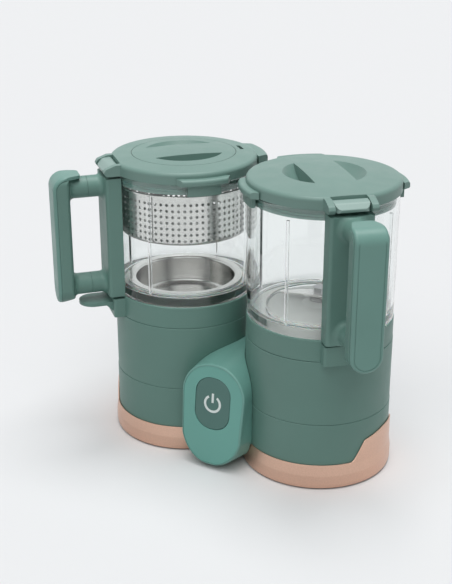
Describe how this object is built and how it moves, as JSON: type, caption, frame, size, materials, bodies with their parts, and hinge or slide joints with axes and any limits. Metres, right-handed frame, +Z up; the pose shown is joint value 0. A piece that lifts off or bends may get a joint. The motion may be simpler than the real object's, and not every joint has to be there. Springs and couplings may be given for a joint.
{
  "type": "baby food maker",
  "caption": "Steamer and blender on joined round towers, each with a clear jar, a side handle and a domed lid; a metal basket hangs in the steam jar and a button panel sits between the towers.",
  "frame": {"origin": "on the floor under the middle of the whole machine", "axes": "+Z up, +X from the steam tower to the blend tower, +Y to the back, button panel at -Y"},
  "size_m": [0.3158, 0.162, 0.2645],
  "materials": {
    "green_plastic": "fine satin texture",
    "lid_green": "fine satin texture, a little lighter",
    "panel_green": "smooth",
    "button_green": "smooth",
    "flap_green": "smooth",
    "rose_gold": "satin metallic coat",
    "glass": "clear",
    "stainless": "bright brushed",
    "steel": "plain",
    "silicone": "translucent pale",
    "green_silicone": "matt, the colour of the lids",
    "pale_plastic": "satin",
    "rubber": "matt",
    "black_plastic": "matt",
    "board": "circuit board"
  },
  "bodies": {
    "base": {"steam_trim_ring": "rose_gold", "blend_trim_ring": "rose_gold", "steam_lower_shell": "green_plastic", "blend_lower_shell": "green_plastic", "steam_upper_shell": "green_plastic", "blend_upper_shell": "green_plastic", "steam_base_plate": "black_plastic", "blend_base_plate": "black_plastic", "rubber_feet": "rubber", "base_screws": "steel", "bridge_shell": "green_plastic", "front_panel": "panel_green", "control_board": "board", "button_switch": "black_plastic", "cord_gland": "rubber", "heating_plate": "stainless", "boiler_seal": "silicone", "heating_element": "steel", "thermostat": "black_plastic", "motor_can": "steel", "motor_end_bell": "black_plastic", "motor_mounts": "rubber"},
    "rotor": {"motor_shaft": "steel", "motor_fan": "black_plastic", "drive_dog": "black_plastic"},
    "button": {"start_button": "button_green"},
    "steam_jar": {"steam_glass": "glass", "steam_handle_rib": "green_plastic", "steam_handle_core": "green_plastic", "steam_handle_cover": "green_plastic", "steam_handle_screws": "steel", "steam_jar_base": "green_plastic", "steam_dish": "stainless", "steam_jar_gasket": "silicone", "steam_dish_seal": "silicone"},
    "steam_lock": {"steam_lock_ring": "green_plastic"},
    "basket": {"steam_basket": "stainless"},
    "steam_top": {"steam_lid": "lid_green", "steam_lid_seal": "green_silicone", "steam_flap_pin": "steel"},
    "steam_cap": {"steam_lid_cap": "lid_green"},
    "steam_flap": {"steam_lid_flap": "flap_green"},
    "blend_jar": {"blend_glass": "glass", "blend_handle_rib": "green_plastic", "blend_handle_core": "green_plastic", "blend_handle_cover": "green_plastic", "blend_handle_screws": "steel", "blend_jar_base": "pale_plastic", "blend_jar_gasket": "silicone", "blade_bush": "steel"},
    "blend_lock": {"blend_lock_ring": "green_plastic"},
    "blade": {"blade_shaft": "steel", "blades": "stainless", "blade_nut": "steel", "driven_dog": "black_plastic"},
    "blend_top": {"blend_lid": "lid_green", "blend_lid_seal": "green_silicone", "blend_flap_pin": "steel"},
    "blend_flap": {"blend_lid_flap": "flap_green"}
  },
  "joints": [
    {"name": "motor_spin", "type": "hinge", "parent": "base", "child": "rotor", "pos_m": [0.068, 0.0141, 0.1197], "axis": [0, 0, 1], "continuous": true},
    {"name": "button_press", "type": "slide", "parent": "base", "child": "button", "axis": [0, 1, 0], "range_m": [0, 0.0015], "stiffness_N_per_m": 800, "springref_m": -0.0005},
    {"name": "steam_jar_lift", "type": "slide", "parent": "base", "child": "steam_jar", "axis": [0, 0, 1], "range_m": [0, 0.08]},
    {"name": "steam_lock_turn", "type": "hinge", "parent": "steam_jar", "child": "steam_lock", "pos_m": [-0.068, 0.0141, 0.1197], "axis": [0, 0, 1], "range_deg": [0, 25]},
    {"name": "basket_lift", "type": "slide", "parent": "steam_jar", "child": "basket", "axis": [0, 0, 1], "range_m": [0, 0.09]},
    {"name": "steam_lid_lift", "type": "slide", "parent": "basket", "child": "steam_top", "axis": [0, 0, 1], "range_m": [0, 0.06]},
    {"name": "cap_turn", "type": "hinge", "parent": "steam_top", "child": "steam_cap", "pos_m": [-0.068, 0.0141, 0.1197], "axis": [0, 0, 1], "range_deg": [0, 40]},
    {"name": "steam_flap_lift", "type": "hinge", "parent": "steam_top", "child": "steam_flap", "pos_m": [-0.11199, -0.03308, 0.2555], "axis": [-0.7314, 0.682, 0], "range_deg": [0, 30]},
    {"name": "blend_jar_lift", "type": "slide", "parent": "base", "child": "blend_jar", "axis": [0, 0, 1], "range_m": [0, 0.08]},
    {"name": "blend_lock_turn", "type": "hinge", "parent": "blend_jar", "child": "blend_lock", "pos_m": [0.068, 0.0141, 0.1197], "axis": [0, 0, 1], "range_deg": [0, 25]},
    {"name": "blade_spin", "type": "hinge", "parent": "blend_jar", "child": "blade", "pos_m": [0.068, 0.0141, 0.1197], "axis": [0, 0, 1], "continuous": true},
    {"name": "blend_lid_lift", "type": "slide", "parent": "blend_jar", "child": "blend_top", "axis": [0, 0, 1], "range_m": [0, 0.06]},
    {"name": "blend_flap_lift", "type": "hinge", "parent": "blend_top", "child": "blend_flap", "pos_m": [0.11199, -0.03308, 0.2555], "axis": [-0.7314, -0.682, 0], "range_deg": [0, 30]}
  ],
  "couplings": [
    {"joint": "blade_spin", "follows": "motor_spin", "ratio": 1}
  ]
}
